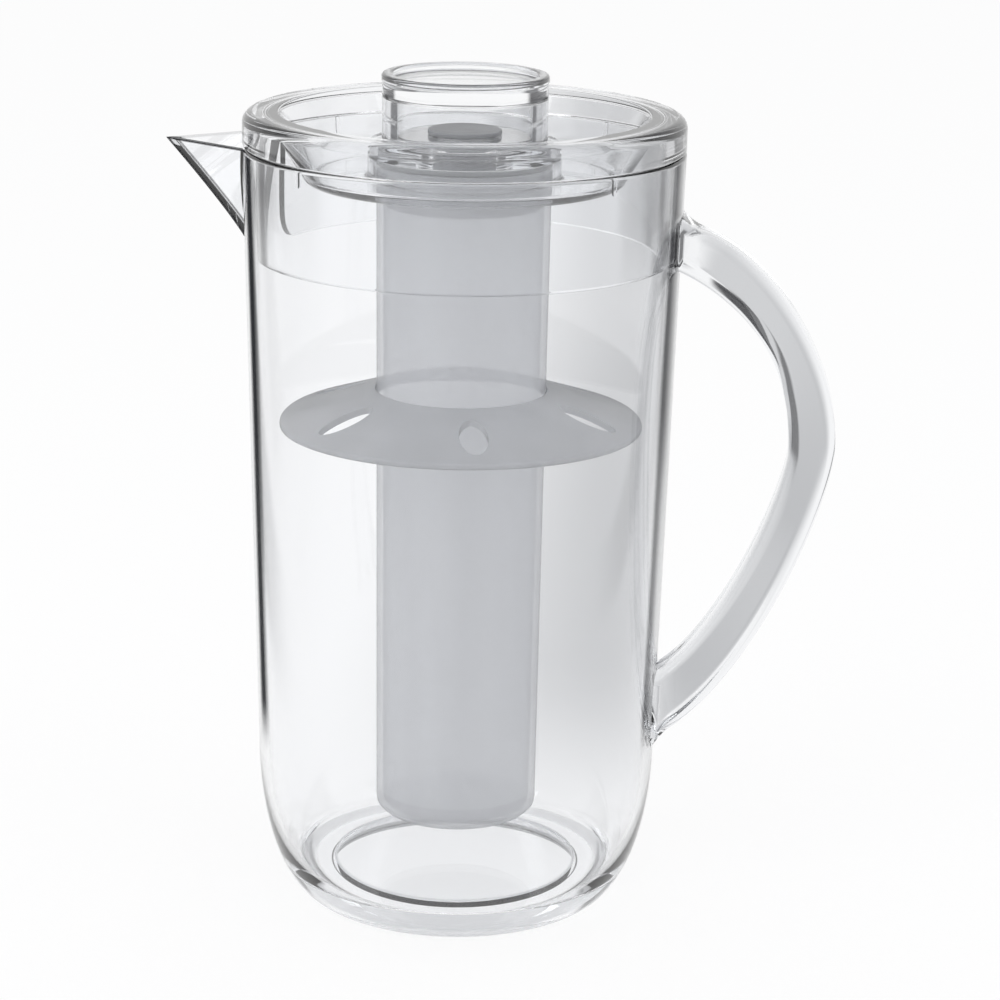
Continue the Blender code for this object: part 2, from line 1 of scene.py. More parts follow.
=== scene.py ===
"""Looks of the fruit infusion pitcher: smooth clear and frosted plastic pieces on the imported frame."""

import math

import bmesh
import bpy
from mathutils import Matrix, Vector


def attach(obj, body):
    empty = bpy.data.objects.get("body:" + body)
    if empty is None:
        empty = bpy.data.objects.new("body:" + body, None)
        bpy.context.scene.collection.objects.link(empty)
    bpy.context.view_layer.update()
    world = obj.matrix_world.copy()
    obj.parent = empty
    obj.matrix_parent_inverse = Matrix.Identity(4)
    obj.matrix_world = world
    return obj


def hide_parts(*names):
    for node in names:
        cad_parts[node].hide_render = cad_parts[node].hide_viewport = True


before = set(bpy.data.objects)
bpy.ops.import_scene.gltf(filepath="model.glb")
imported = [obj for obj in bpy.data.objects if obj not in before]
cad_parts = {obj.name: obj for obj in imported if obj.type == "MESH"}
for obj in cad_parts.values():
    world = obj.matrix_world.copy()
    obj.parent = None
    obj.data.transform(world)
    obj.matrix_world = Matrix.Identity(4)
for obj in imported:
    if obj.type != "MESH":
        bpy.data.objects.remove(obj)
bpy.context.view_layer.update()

# Sizes of the part in metres. The floor, the recess under it and the lid's ring are read from the photo again;
# the rest is as in the part's source.

# Jug
RIM_Z = 0.2490
RIM_R = 0.0700
RIM_ROUND = 0.0011
RIM_EDGE = 0.0012
BOWL_TOP_Z = 0.0520
WALL_TAPER = 0.0049
WALL_T = 0.0032
FOOT_R = 0.0452
FLOOR_T = 0.0118
FLOOR_EDGE_R = 0.0528
RECESS_R = 0.0416
RECESS_DEPTH = 0.0060
RECESS_DRAFT = 0.0012

# Spout
SPOUT_REACH = 0.0950
SPOUT_DROP = 0.0330
SPOUT_T = 0.0020
SPOUT_HALF_ANGLE = math.radians(36.0)
KEEL_BEND = 1.12

# Handle
HANDLE_REACH = 0.1203
HANDLE_T = 0.0149
HANDLE_W = 0.0180
HANDLE_ROUND = 0.0042
HANDLE_FLARE = 0.0022
HANDLE_SECTIONS = 97

# Lid
POUR_HALF_ANGLE = math.radians(13.5)
POUR_ROUND = 0.0095
SKIRT_LOW_Z = 0.2145
RING_LOW_Z = 0.2493
RING_TOP_Z = 0.2597
RING_ROUND = 0.0035
RING_INNER_R = 0.0587
RING_UNDER_Z = 0.2567
RING_UNDER_OUTER_R = 0.0637
RING_UNDER_INNER_R = 0.0617
SKIRT_TOP_R = 0.0660
SKIRT_LOW_R = 0.06514
SKIRT_BORE_R = 0.06284
TROUGH_Z = 0.2413
TROUGH_R = 0.04793
TROUGH_UNDER_Z = 0.2383
TROUGH_UNDER_R = 0.0503
TROUGH_ROUND = 0.0032
SOCKET_R = 0.03065
SOCKET_BORE_R = 0.02805
SOCKET_CEILING_Z = 0.2475
LEDGE_Z = 0.2505
SPIGOT_R = 0.0211
SPIGOT_TOP_Z = 0.2529
STUD_HOLE_R = 0.0103
RIB_COUNT = 4
RIB_START = math.radians(46.7)

# Knob
KNOB_R = 0.0264
KNOB_WALL_R = 0.0261
KNOB_LIP_R = 0.0228
KNOB_BORE_R = 0.0214
KNOB_LOW_Z = 0.2508
KNOB_CEILING_Z = 0.2647
KNOB_BEAD_Z = 0.2694
KNOB_PLATE_Z = 0.2697
KNOB_TOP_Z = 0.2719
KNOB_ROUND = 0.0017

# Cap and seal
STUD_R = 0.0100
STUD_HEAD_R = 0.0117
STUD_HEAD_Z = 0.2532
STUD_TOP_Z = 0.2547
CAP_TOP_Z = 0.2472
CAP_FLANGE_Z = 0.2457
CAP_CEILING_Z = 0.2446
PLUG_R = 0.02515
PLUG_BORE_R = 0.02015
PLUG_LOW_Z = 0.2307
GROOVE_R = 0.02285
GROOVE_TOP_Z = 0.2370
GROOVE_LOW_Z = 0.2344
SEAL_R = 0.02415
SEAL_Z = 0.2357
SEAL_HALF_T = 0.0010

# Core tube
TUBE_TOP_R = 0.02775
TUBE_LOW_R = 0.0263
TUBE_BOTTOM_Z = 0.0276
TUBE_TOP_Z = 0.2454
TUBE_BORE_R = 0.02555
TUBE_FLOOR_R = 0.0241
TUBE_FLOOR_Z = 0.0302
TUBE_ROUND = 0.0046
TUBE_EDGE = 0.0006

# Fruit disc
DISC_R = 0.05835
DISC_RIM_Z = 0.1587
DISC_RISE = 0.0124
DISC_T = 0.0022
DISC_COLLAR_T = 0.0018
DISC_COLLAR_Z = 0.1669
DISC_UNDER_Z = 0.1683
DISC_EDGE = 0.0009
DISC_BORE_TAPER = 0.00002
DISC_FIT = 0.0003
HOLE_COUNT = 6
HOLE_LENGTH = 0.0189
HOLE_WIDTH = 0.0090
HOLE_PITCH_R = 0.0437
HOLE_START = math.radians(-80.0)
HOLE_POINTS = 48
HOLE_CUT_PAST = 0.02

# Fits, the jug's axis and the points round a turned piece
BOND_GAP = 0.00005
TRIM = 0.00001  # keeps the meshes just inside the solids' box
AXIS_X = (SPOUT_REACH - HANDLE_REACH) / 2.0
BOWL_TOP_R = RIM_R - WALL_TAPER
AROUND = 192
CAP_AROUND = 128
TUBE_AROUND = 160
SEAL_POINTS = 20


def wall_r(z):
    return BOWL_TOP_R + WALL_TAPER * (z - BOWL_TOP_Z) / (RIM_Z - BOWL_TOP_Z)


def bore_r(z):
    return wall_r(z) - WALL_T


def tube_r(z):
    return TUBE_LOW_R + (TUBE_TOP_R - TUBE_LOW_R) * (z - TUBE_BOTTOM_Z) / (TUBE_TOP_Z - TUBE_BOTTOM_Z)


# Mesh helpers. Meshes are made in the row frame.

def arc(centre, half_axes, start_deg, end_deg, count):
    points = []
    for i in range(count):
        angle = math.radians(start_deg + (end_deg - start_deg) * i / (count - 1))
        points.append((centre[0] + half_axes[0] * math.cos(angle),
                       centre[1] + half_axes[1] * math.sin(angle)))
    return points


def rounded(corners, closed):
    """An outline through (radius, height, rounding) corners."""
    points = []
    count = len(corners)
    for i, (r, z, size) in enumerate(corners):
        at_end = not closed and i in (0, count - 1)
        if size <= 0.0 or at_end:
            points.append((r, z))
            continue
        here = Vector((r, z))
        before = Vector(corners[i - 1][:2]) - here
        after = Vector(corners[(i + 1) % count][:2]) - here
        turn = before.angle(after)
        reach = size / math.tan(turn / 2.0)
        reach = min(reach, 0.49 * before.length, 0.49 * after.length)
        size = reach * math.tan(turn / 2.0)
        start = here + before.normalized() * reach
        stop = here + after.normalized() * reach
        middle = here + (before.normalized() + after.normalized()).normalized() * size / math.sin(turn / 2.0)
        first, last = start - middle, stop - middle
        sweep = first.angle_signed(last)
        steps = max(2, int(abs(sweep) / math.radians(15.0)) + 1)
        for k in range(steps + 1):
            spin = Matrix.Rotation(-sweep * k / steps, 2)
            points.append(tuple(middle + spin @ first))
    return points


def new_piece(name, bm):
    """Makes an object of a finished bmesh."""
    bmesh.ops.recalc_face_normals(bm, faces=bm.faces)
    mesh = bpy.data.meshes.new(name)
    bm.to_mesh(mesh)
    bm.free()
    piece = bpy.data.objects.new(name, mesh)
    bpy.context.scene.collection.objects.link(piece)
    return piece


def lathe(name, outline, closed, around=AROUND):
    """Turns an outline round the jug's axis. An open outline starts and ends on the axis."""
    bm = bmesh.new()
    rings = []
    for r, z in outline:
        if r < 1e-9:
            rings.append([bm.verts.new((AXIS_X, 0.0, z))])
            continue
        ring = []
        for k in range(around):
            a = 2.0 * math.pi * k / around
            ring.append(bm.verts.new((AXIS_X + r * math.cos(a), r * math.sin(a), z)))
        rings.append(ring)
    pairs = list(zip(rings, rings[1:]))
    if closed:
        pairs.append((rings[-1], rings[0]))
    for one, two in pairs:
        for k in range(around):
            n = (k + 1) % around
            if len(one) == 1:
                bm.faces.new((one[0], two[k], two[n]))
            elif len(two) == 1:
                bm.faces.new((one[k], two[0], one[n]))
            else:
                bm.faces.new((one[k], two[k], two[n], one[n]))
    return new_piece(name, bm)


def loft(name, sections):
    """Joins sections of equal point counts and closes both ends."""
    bm = bmesh.new()
    rings = [[bm.verts.new(p) for p in section] for section in sections]
    count = len(sections[0])
    for one, two in zip(rings, rings[1:]):
        for i in range(count):
            j = (i + 1) % count
            bm.faces.new((one[i], one[j], two[j], two[i]))
    bm.faces.new(rings[0])
    bm.faces.new(rings[-1])
    return new_piece(name, bm)


def carve(piece, cutter, operation="DIFFERENCE", keep=False):
    """Applies a boolean and takes the cutter away unless it is kept for another cut."""
    modifier = piece.modifiers.new("Cut", "BOOLEAN")
    modifier.operation = operation
    modifier.solver = "EXACT"
    modifier.object = cutter
    apply_all(piece)
    if not keep:
        bpy.data.objects.remove(cutter)


def apply_all(piece):
    """Turns a piece's modifiers into mesh."""
    bpy.context.view_layer.update()
    made = bpy.data.meshes.new_from_object(piece.evaluated_get(bpy.context.evaluated_depsgraph_get()))
    piece.modifiers.clear()
    piece.data = made


def soften(piece, width, angle_deg):
    """Rounds the edges that are sharper than an angle."""
    bevel = piece.modifiers.new("Soft edges", "BEVEL")
    bevel.width = width
    bevel.segments = 2
    bevel.limit_method = "ANGLE"
    bevel.angle_limit = math.radians(angle_deg)
    apply_all(piece)


def dress(piece, node, body, material, sharp_deg=40.0):
    """Names the node a piece stands for, the body it rides on and its finish."""
    piece.data.materials.clear()
    piece.data.materials.append(material)
    piece.data.shade_smooth()
    piece.data.set_sharp_from_angle(angle=math.radians(sharp_deg))
    flat = piece.modifiers.new("Flat faces", "WEIGHTED_NORMAL")
    flat.weight = 100
    flat.keep_sharp = True
    apply_all(piece)
    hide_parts(node)
    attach(piece, body)
    return piece


# Materials

ACRYLIC_IOR = 1.49
FROSTED_IOR = 1.5
CLEAR_SHADOW = 0.92
THICK_TINT = (0.58, 0.61, 0.65)
# painted shade: a dark matt colour laid over clear pieces where their edges should look dark
PAINTED_SHADE = (0.010, 0.011, 0.014)
# painted highlight: a white matt colour laid over the jug's recess edge and foot
PAINTED_HIGHLIGHT = (0.96, 0.965, 0.97)


def shader_of(material):
    material.use_nodes = True
    return material.node_tree.nodes["Principled BSDF"]


def ramp(tree, stops):
    node = tree.nodes.new("ShaderNodeValToRGB")
    elements = node.color_ramp.elements
    elements.remove(elements[1])
    elements[0].position = stops[0][0]
    elements[0].color = (*stops[0][1], 1.0)
    for place, colour in stops[1:]:
        elements.new(place).color = (*colour, 1.0)
    return node


def noise(tree, scale, detail=2.0, stretch=(1.0, 1.0, 1.0)):
    place = tree.nodes.new("ShaderNodeTexCoord")
    mapping = tree.nodes.new("ShaderNodeMapping")
    mapping.inputs["Scale"].default_value = stretch
    node = tree.nodes.new("ShaderNodeTexNoise")
    node.inputs["Scale"].default_value = scale
    node.inputs["Detail"].default_value = detail
    tree.links.new(place.outputs["Object"], mapping.inputs["Vector"])
    tree.links.new(mapping.outputs["Vector"], node.inputs["Vector"])
    return node


def spread(tree, socket, low, high):
    """Maps the middle of a noise's range to low and high."""
    node = tree.nodes.new("ShaderNodeMapRange")
    node.inputs["From Min"].default_value = 0.3
    node.inputs["From Max"].default_value = 0.7
    node.inputs["To Min"].default_value = low
    node.inputs["To Max"].default_value = high
    tree.links.new(socket, node.inputs["Value"])
    return node.outputs["Result"]


def bump(tree, socket, strength, distance):
    node = tree.nodes.new("ShaderNodeBump")
    node.inputs["Strength"].default_value = strength
    node.inputs["Distance"].default_value = distance
    tree.links.new(socket, node.inputs["Height"])
    return node.outputs["Normal"]


def math_node(tree, operation, one, two):
    node = tree.nodes.new("ShaderNodeMath")
    node.operation = operation
    for socket, value in zip(node.inputs, (one, two)):
        if isinstance(value, float):
            socket.default_value = value
        else:
            tree.links.new(value, socket)
    return node.outputs["Value"]


def rise(tree, socket, low, high):
    """A smooth step from 0 at low to 1 at high."""
    node = tree.nodes.new("ShaderNodeMapRange")
    node.interpolation_type = "SMOOTHSTEP"
    node.inputs["From Min"].default_value = low
    node.inputs["From Max"].default_value = high
    tree.links.new(socket, node.inputs["Value"])
    return node.outputs["Result"]


def place_parts(tree):
    """The distance from the jug's axis, the offset to its right and the height of the shaded point."""
    place = tree.nodes.new("ShaderNodeTexCoord")
    parts = tree.nodes.new("ShaderNodeSeparateXYZ")
    tree.links.new(place.outputs["Object"], parts.inputs["Vector"])
    x = math_node(tree, "SUBTRACT", parts.outputs["X"], AXIS_X)
    squares = math_node(tree, "ADD", math_node(tree, "MULTIPLY", x, x),
                        math_node(tree, "MULTIPLY", parts.outputs["Y"], parts.outputs["Y"]))
    return math_node(tree, "POWER", squares, 0.5), x, parts.outputs["Z"]


# How dark the painted shade on a clear wall is by how far it turns edge-on: on the spout's side and on the handle's
# side
EDGE_LEFT = [(0.69, 0.0), (0.725, 0.6), (0.755, 1.0), (0.80, 1.0), (0.83, 0.6), (0.87, 0.0)]
EDGE_RIGHT = [(0.66, 0.0), (0.70, 0.65), (0.73, 0.65), (0.76, 0.4), (0.80, 0.1), (0.85, 0.0)]
EDGE_SIDES = (-0.05, 0.05)
EDGE_FADE = 0.02


def painted_edge_shade(tree, low, high, darkness):
    """The narrow band of painted shade on the outside of a clear wall seen nearly edge-on.

    low and high are the (radius, height) ends of the wall's middle line.
    """
    out, x, z = place_parts(tree)
    slope = (high[0] - low[0]) / (high[1] - low[1])
    line = math_node(tree, "ADD", math_node(tree, "MULTIPLY", z, slope), low[0] - slope * low[1])
    outside = math_node(tree, "GREATER_THAN", math_node(tree, "SUBTRACT", out, line), 0.0)
    fade = rise(tree, z, low[1], low[1] + EDGE_FADE)
    below = math_node(tree, "LESS_THAN", z, high[1])
    mask = math_node(tree, "MULTIPLY", math_node(tree, "MULTIPLY", outside, fade), below)
    facing = tree.nodes.new("ShaderNodeLayerWeight")
    facing.inputs["Blend"].default_value = 0.5
    band = tree.nodes.new("ShaderNodeMix")
    band.data_type = "RGBA"
    for socket, stops in (("A", EDGE_LEFT), ("B", EDGE_RIGHT)):
        shades = ramp(tree, [(place, (share,) * 3) for place, share in stops])
        tree.links.new(facing.outputs["Facing"], shades.inputs["Fac"])
        tree.links.new(shades.outputs["Color"], band.inputs[socket])
    tree.links.new(rise(tree, x, *EDGE_SIDES), band.inputs["Factor"])
    return math_node(tree, "MULTIPLY", math_node(tree, "MULTIPLY", band.outputs["Result"], mask), darkness)


def between(tree, socket, low, high, soft):
    """1 between low and high, with soft ends."""
    return math_node(tree, "MULTIPLY", rise(tree, socket, low - soft, low),
                     math_node(tree, "SUBTRACT", 1.0, rise(tree, socket, high, high + soft)))


def over(tree, surface, colour, amount):
    """Lays a matt colour over a surface by an amount."""
    matt = tree.nodes.new("ShaderNodeBsdfDiffuse")
    matt.inputs["Color"].default_value = (*colour, 1.0)
    mixed = tree.nodes.new("ShaderNodeMixShader")
    tree.links.new(amount, mixed.inputs["Fac"])
    tree.links.new(surface, mixed.inputs[1])
    tree.links.new(matt.outputs["BSDF"], mixed.inputs[2])
    return mixed.outputs["Shader"]


def seen_rays(tree, names):
    """1 for rays of these kinds."""
    path = tree.nodes.new("ShaderNodeLightPath")
    total = path.outputs[names[0]]
    for name in names[1:]:
        total = math_node(tree, "MAXIMUM", total, path.outputs[name])
    return total


def pass_light(tree, surface, share, scattered=False):
    """Lets a share of the lamps' light through, so the piece casts a light shadow.

    With scattered, light that comes from other surfaces passes too.
    """
    rays = ["Is Shadow Ray", "Is Diffuse Ray"] if scattered else ["Is Shadow Ray"]
    lets_through = tree.nodes.new("ShaderNodeBsdfTransparent")
    lets_through.inputs["Color"].default_value = (share, share * 1.005, share * 1.015, 1.0)
    either = tree.nodes.new("ShaderNodeMixShader")
    tree.links.new(seen_rays(tree, rays), either.inputs["Fac"])
    tree.links.new(surface, either.inputs[1])
    tree.links.new(lets_through.outputs["BSDF"], either.inputs[2])
    tree.links.new(either.outputs["Shader"], tree.nodes["Material Output"].inputs["Surface"])


def clear_plastic(name, tint, absorb, waviness=0.04, layers=None):
    """Clear moulded acrylic with faint flow waves and handling haze. Lamps shine through it with a light shadow.

    absorb is the density that tones thick places. layers gives the (colour, amount) of the painted shade and
    painted highlights laid over the clear surface.
    """
    material = bpy.data.materials.new(name)
    shader = shader_of(material)
    tree = material.node_tree
    shader.inputs["Base Color"].default_value = (*tint, 1.0)
    shader.inputs["Transmission Weight"].default_value = 1.0
    shader.inputs["IOR"].default_value = ACRYLIC_IOR
    haze = noise(tree, scale=90.0, detail=4.0, stretch=(1.0, 1.0, 0.35))
    tree.links.new(spread(tree, haze.outputs["Fac"], low=0.003, high=0.014), shader.inputs["Roughness"])
    flow = noise(tree, scale=22.0, stretch=(1.0, 1.0, 0.3))
    tree.links.new(bump(tree, flow.outputs["Fac"], waviness, distance=0.0006), shader.inputs["Normal"])
    volume = tree.nodes.new("ShaderNodeVolumeAbsorption")
    volume.inputs["Color"].default_value = (*THICK_TINT, 1.0)
    volume.inputs["Density"].default_value = absorb
    tree.links.new(volume.outputs["Volume"], tree.nodes["Material Output"].inputs["Volume"])
    surface = shader.outputs["BSDF"]
    for colour, amount in layers(tree) if layers else []:
        surface = over(tree, surface, colour, amount)
    pass_light(tree, surface, CLEAR_SHADOW)
    return material


def frosted_plastic(name, colour, alpha, rough=(0.34, 0.5), shadow=0.55, thick_below=-1.0, scattered=False):
    """Frosted translucent plastic with a fine etched grain, faint upright draw marks and darker edges.

    Below the height thick_below the plastic is thicker and looks denser, and the closed bottom more so.
    """
    material = bpy.data.materials.new(name)
    shader = shader_of(material)
    tree = material.node_tree
    shader.inputs["IOR"].default_value = FROSTED_IOR
    shader.inputs["Alpha"].default_value = alpha
    marks = noise(tree, scale=70.0, detail=3.0, stretch=(1.0, 1.0, 0.04))
    light = tuple(min(1.0, c * 1.06) for c in colour)
    dark = tuple(c * 0.95 for c in colour)
    shades = ramp(tree, [(0.3, dark), (0.7, light)])
    tree.links.new(marks.outputs["Fac"], shades.inputs["Fac"])
    facing = tree.nodes.new("ShaderNodeLayerWeight")
    facing.inputs["Blend"].default_value = 0.5
    height = place_parts(tree)[2]
    dense = math_node(tree, "SUBTRACT", 1.0, rise(tree, height, thick_below - 0.0005, thick_below + 0.0003))
    dense = math_node(tree, "SUBTRACT", 1.0, math_node(tree, "MULTIPLY", dense, 0.10))
    edges = ramp(tree, [(0.60, (1.0,) * 3), (0.80, (0.72,) * 3), (0.95, (0.45,) * 3)])
    tree.links.new(facing.outputs["Facing"], edges.inputs["Fac"])
    tinted = tree.nodes.new("ShaderNodeMix")
    tinted.data_type = "RGBA"
    tinted.blend_type = "MULTIPLY"
    tinted.inputs["Factor"].default_value = 1.0
    tree.links.new(shades.outputs["Color"], tinted.inputs["A"])
    darker = tree.nodes.new("ShaderNodeVectorMath")
    darker.operation = "SCALE"
    tree.links.new(edges.outputs["Color"], darker.inputs[0])
    tree.links.new(dense, darker.inputs["Scale"])
    tree.links.new(darker.outputs["Vector"], tinted.inputs["B"])
    tree.links.new(tinted.outputs["Result"], shader.inputs["Base Color"])
    cloud = noise(tree, scale=45.0, detail=4.0)
    tree.links.new(spread(tree, cloud.outputs["Fac"], *rough), shader.inputs["Roughness"])
    etch = noise(tree, scale=1100.0)
    tree.links.new(bump(tree, etch.outputs["Fac"], strength=0.08, distance=0.00008), shader.inputs["Normal"])
    closed = math_node(tree, "SUBTRACT", 1.0, rise(tree, height, thick_below - 0.0062, thick_below - 0.0056))
    surface = over(tree, shader.outputs["BSDF"], tuple(0.9 * c for c in colour),
                   math_node(tree, "MULTIPLY", closed, 0.35))
    pass_light(tree, surface, shadow, scattered)
    return material


def jug_layers(tree):
    """Painted shade on the wall edges, and painted highlights on the recess's edge and the foot's lower edge."""
    middle = [(bore_r(z) + 0.5 * WALL_T, z) for z in (BOWL_TOP_Z, RIM_Z - RIM_EDGE - 0.0002)]
    out, _, z = place_parts(tree)
    # masks of the painted highlights: the recess's edge and the foot's lower edge
    step = math_node(tree, "MULTIPLY", between(tree, out, RECESS_R - 0.0018, RECESS_R + 0.0002, 0.0002),
                     between(tree, z, RECESS_DEPTH - 0.0012, RECESS_DEPTH + 0.0001, 0.0003))
    foot = math_node(tree, "MULTIPLY", rise(tree, out, FOOT_R - 0.002, FOOT_R),
                     between(tree, z, 0.0008, 0.0035, 0.0006))
    return [(PAINTED_SHADE, painted_edge_shade(tree, *middle, 0.95)),
            (PAINTED_HIGHLIGHT, math_node(tree, "MULTIPLY", step, 0.8)),
            (PAINTED_HIGHLIGHT, math_node(tree, "MULTIPLY", foot, 0.5))]


def lid_layers(tree):
    """Painted shade along the edges of the skirt's wall."""
    low, high = (0.0640, 0.1895), (0.06485, RIM_Z)
    return [(PAINTED_SHADE, painted_edge_shade(tree, low, high, 0.75))]


def spout_layers(tree):
    """Painted shade along the top edges, more on the near wing, and two lines of painted shade along the keel with
    an unshaded line between them.
    """
    place = tree.nodes.new("ShaderNodeTexCoord")
    parts = tree.nodes.new("ShaderNodeSeparateXYZ")
    tree.links.new(place.outputs["Object"], parts.inputs["Vector"])
    # painted shade along the top edges
    top = rise(tree, parts.outputs["Z"], RIM_Z - 0.0006, RIM_Z - 0.0002)
    far_wing = rise(tree, parts.outputs["Y"], 0.0, 0.002)
    near = math_node(tree, "SUBTRACT", 0.75, math_node(tree, "MULTIPLY", far_wing, 0.6))
    # two lines of painted shade along the keel, with an unshaded line between them
    beside = math_node(tree, "ABSOLUTE", parts.outputs["Y"], 0.0)
    keel = math_node(tree, "SUBTRACT", 1.0, rise(tree, beside, 0.0007, 0.0010))
    gleam = between(tree, beside, 0.0003, 0.0005, 0.0001)
    keel = math_node(tree, "MULTIPLY", keel, math_node(tree, "SUBTRACT", 1.0, gleam))
    return [(PAINTED_SHADE, math_node(tree, "MULTIPLY", top, near)),
            (PAINTED_SHADE, math_node(tree, "MULTIPLY", keel, 0.8))]


CLEAR = (0.975, 0.979, 0.986)
CLEAREST = (0.985, 0.988, 0.993)
jug_clear = clear_plastic("clear_jug", CLEAR, absorb=3.0, layers=jug_layers)
spout_clear = clear_plastic("clear_spout", (0.945, 0.950, 0.960), absorb=6.0, layers=spout_layers)
handle_clear = clear_plastic("clear_handle", CLEAR, absorb=8.0, waviness=0.02)
lid_clear = clear_plastic("clear_lid", CLEAREST, absorb=7.0, layers=lid_layers)
knob_clear = clear_plastic("clear_knob", CLEAREST, absorb=2.0)
cap_frosted = frosted_plastic("frosted_cap", (0.26, 0.264, 0.275), alpha=1.0)
tube_frosted = frosted_plastic("frosted_tube", (0.69, 0.698, 0.72), alpha=0.42, thick_below=0.0362)
disc_frosted = frosted_plastic("frosted_disc", (0.455, 0.462, 0.479), alpha=0.80, shadow=0.85, scattered=True)
seal_soft = frosted_plastic("soft_seal", (0.72, 0.72, 0.73), alpha=1.0, rough=(0.55, 0.7))


# Jug

def jug_outline():
    """From the middle of the floor up the bore, over the rim and down to the middle of the recess."""
    floor_angle = 65.0
    deep = (BOWL_TOP_Z - FLOOR_T) / math.sin(math.radians(floor_angle))
    wide = (bore_r(BOWL_TOP_Z) - FLOOR_EDGE_R) / (1.0 - math.cos(math.radians(floor_angle)))
    inner = arc((bore_r(BOWL_TOP_Z) - wide, BOWL_TOP_Z), (wide, deep), -floor_angle, 0.0, 28)
    points = [(0.0, FLOOR_T), (FLOOR_EDGE_R - 0.0012, FLOOR_T), (FLOOR_EDGE_R - 0.0004, FLOOR_T + 0.00015)]
    points += inner[1:]
    steps = 24
    for i in range(1, steps):
        z = BOWL_TOP_Z + (RIM_Z - RIM_EDGE - BOWL_TOP_Z) * i / steps
        points.append((bore_r(z), z))
    rim = (RIM_ROUND, RIM_ROUND)
    points += arc((bore_r(RIM_Z) + RIM_ROUND, RIM_Z - RIM_ROUND), rim, 180.0, 90.0, 6)
    points += arc((RIM_R - TRIM - RIM_ROUND, RIM_Z - RIM_ROUND), rim, 90.0, 0.0, 6)
    for i in range(1, steps):
        z = RIM_Z - RIM_EDGE + (BOWL_TOP_Z - RIM_Z + RIM_EDGE) * i / steps
        points.append((wall_r(z), z))
    points += arc((FOOT_R, BOWL_TOP_Z), (BOWL_TOP_R - FOOT_R, BOWL_TOP_Z), 0.0, -90.0, 36)
    points += rounded([(FOOT_R, 0.0, 0.0), (RECESS_R, 0.0, 0.0005),
                       (RECESS_R - RECESS_DRAFT, RECESS_DEPTH, 0.0005), (0.0, RECESS_DEPTH, 0.0)], False)[1:]
    return points


def keel_x(z):
    """How far the spout's keel stands from the jug's axis."""
    share = 1.0 - (RIM_Z - z) / SPOUT_DROP
    reach = SPOUT_REACH - RIM_R
    return wall_r(z) + reach * (share if share <= 0.0 else share ** KEEL_BEND)


def spout_levels():
    """Heights from just above the rim to just below the spout's foot."""
    steps = 24
    top, low = RIM_Z + 0.004, RIM_Z - SPOUT_DROP - 0.004
    return [top + (low - top) * i / steps for i in range(steps + 1)]


def vee(crease, depth, z):
    """The two sides of the spout at a height, from a crease that far from the jug's axis."""
    side = depth * math.tan(SPOUT_HALF_ANGLE)
    x = AXIS_X - crease
    return [(x + depth, -side, z), (x, 0.0, z), (x + depth, side, z)]


def spout_opening():
    """What the spout's trough takes out of the jug's wall."""
    sections = []
    for z in spout_levels():
        crease = keel_x(z) - SPOUT_T / math.sin(SPOUT_HALF_ANGLE)
        sections.append(vee(crease, max(crease - bore_r(z) + 2.0 * WALL_T, WALL_T), z))
    return loft("spout_opening", sections)


def wall_space():
    """All that lies inside the jug's outer surface."""
    top = RIM_Z + 0.006
    points = [(0.0, top), (wall_r(top) + BOND_GAP, top)]
    points += arc((FOOT_R, BOWL_TOP_Z), (BOWL_TOP_R + BOND_GAP - FOOT_R, BOWL_TOP_Z + BOND_GAP), 0.0, -90.0, 36)
    points += [(0.0, -BOND_GAP)]
    return lathe("wall_space", points, False)


def block(name, low, high):
    corners = [(low[0], low[1]), (high[0], low[1]), (high[0], high[1]), (low[0], high[1])]
    return loft(name, [[(x, y, low[2]) for x, y in corners], [(x, y, high[2]) for x, y in corners]])


jug = lathe("jug_wall", jug_outline(), False)
carve(jug, spout_opening())
soften(jug, width=0.0003, angle_deg=50.0)
dress(jug, "pitcher_body", "pitcher", jug_clear, sharp_deg=20.0)

# Spout: two thin wings that meet in a keel
inside_wall = wall_space()
sections = []
for level in spout_levels():
    outer = keel_x(level) - TRIM
    inner = outer - SPOUT_T / math.sin(SPOUT_HALF_ANGLE)
    deep = max(outer - bore_r(level) + WALL_T, 0.006)
    front = vee(outer, deep, level)
    behind = vee(inner, deep - (outer - inner), level)
    across = SPOUT_T / math.cos(SPOUT_HALF_ANGLE)
    behind[0] = (front[0][0], front[0][1] + across, level)
    behind[2] = (front[2][0], front[2][1] - across, level)
    sections.append(front + behind[::-1])
spout = loft("spout_wings", sections)
carve(spout, inside_wall, keep=True)
carve(spout, block("above_rim", (-0.4, -0.4, RIM_Z), (0.4, 0.4, RIM_Z + 0.1)))
soften(spout, width=0.00035, angle_deg=30.0)
dress(spout, "pour_spout", "pitcher", spout_clear, sharp_deg=25.0)


# Handle

def bezier(p0, p1, p2, p3, count):
    points = []
    for i in range(count):
        t = i / count
        s = 1.0 - t
        points.append(tuple(s ** 3 * a + 3 * s * s * t * b + 3 * s * t * t * c + t ** 3 * d
                            for a, b, c, d in zip(p0, p1, p2, p3)))
    return points


def along(point, angle_deg, length):
    """The point a length away in a direction."""
    a = math.radians(angle_deg)
    return (point[0] + length * math.cos(a), point[1] + length * math.sin(a))


def resample(points, count):
    """Evenly spaced points on the same line."""
    lengths = [0.0]
    for p, q in zip(points, points[1:]):
        lengths.append(lengths[-1] + math.dist(p, q))
    out = []
    k = 0
    for i in range(count):
        want = lengths[-1] * i / (count - 1)
        while k < len(points) - 2 and lengths[k + 1] < want:
            k += 1
        t = (want - lengths[k]) / (lengths[k + 1] - lengths[k])
        out.append(tuple(a + (b - a) * t for a, b in zip(points[k], points[k + 1])))
    return out


def half_arches(top, top_deg, peak, low, low_deg, pulls):
    """Two curves that meet upright at the peak. pulls is how far each of their four ends runs on straight."""
    steps = 40
    upper = bezier(top, along(top, top_deg, pulls[0]), (peak[0], peak[1] + pulls[1]), peak, steps)
    lower = bezier(peak, (peak[0], peak[1] - pulls[2]), along(low, low_deg, pulls[3]), low, steps)
    return upper + lower


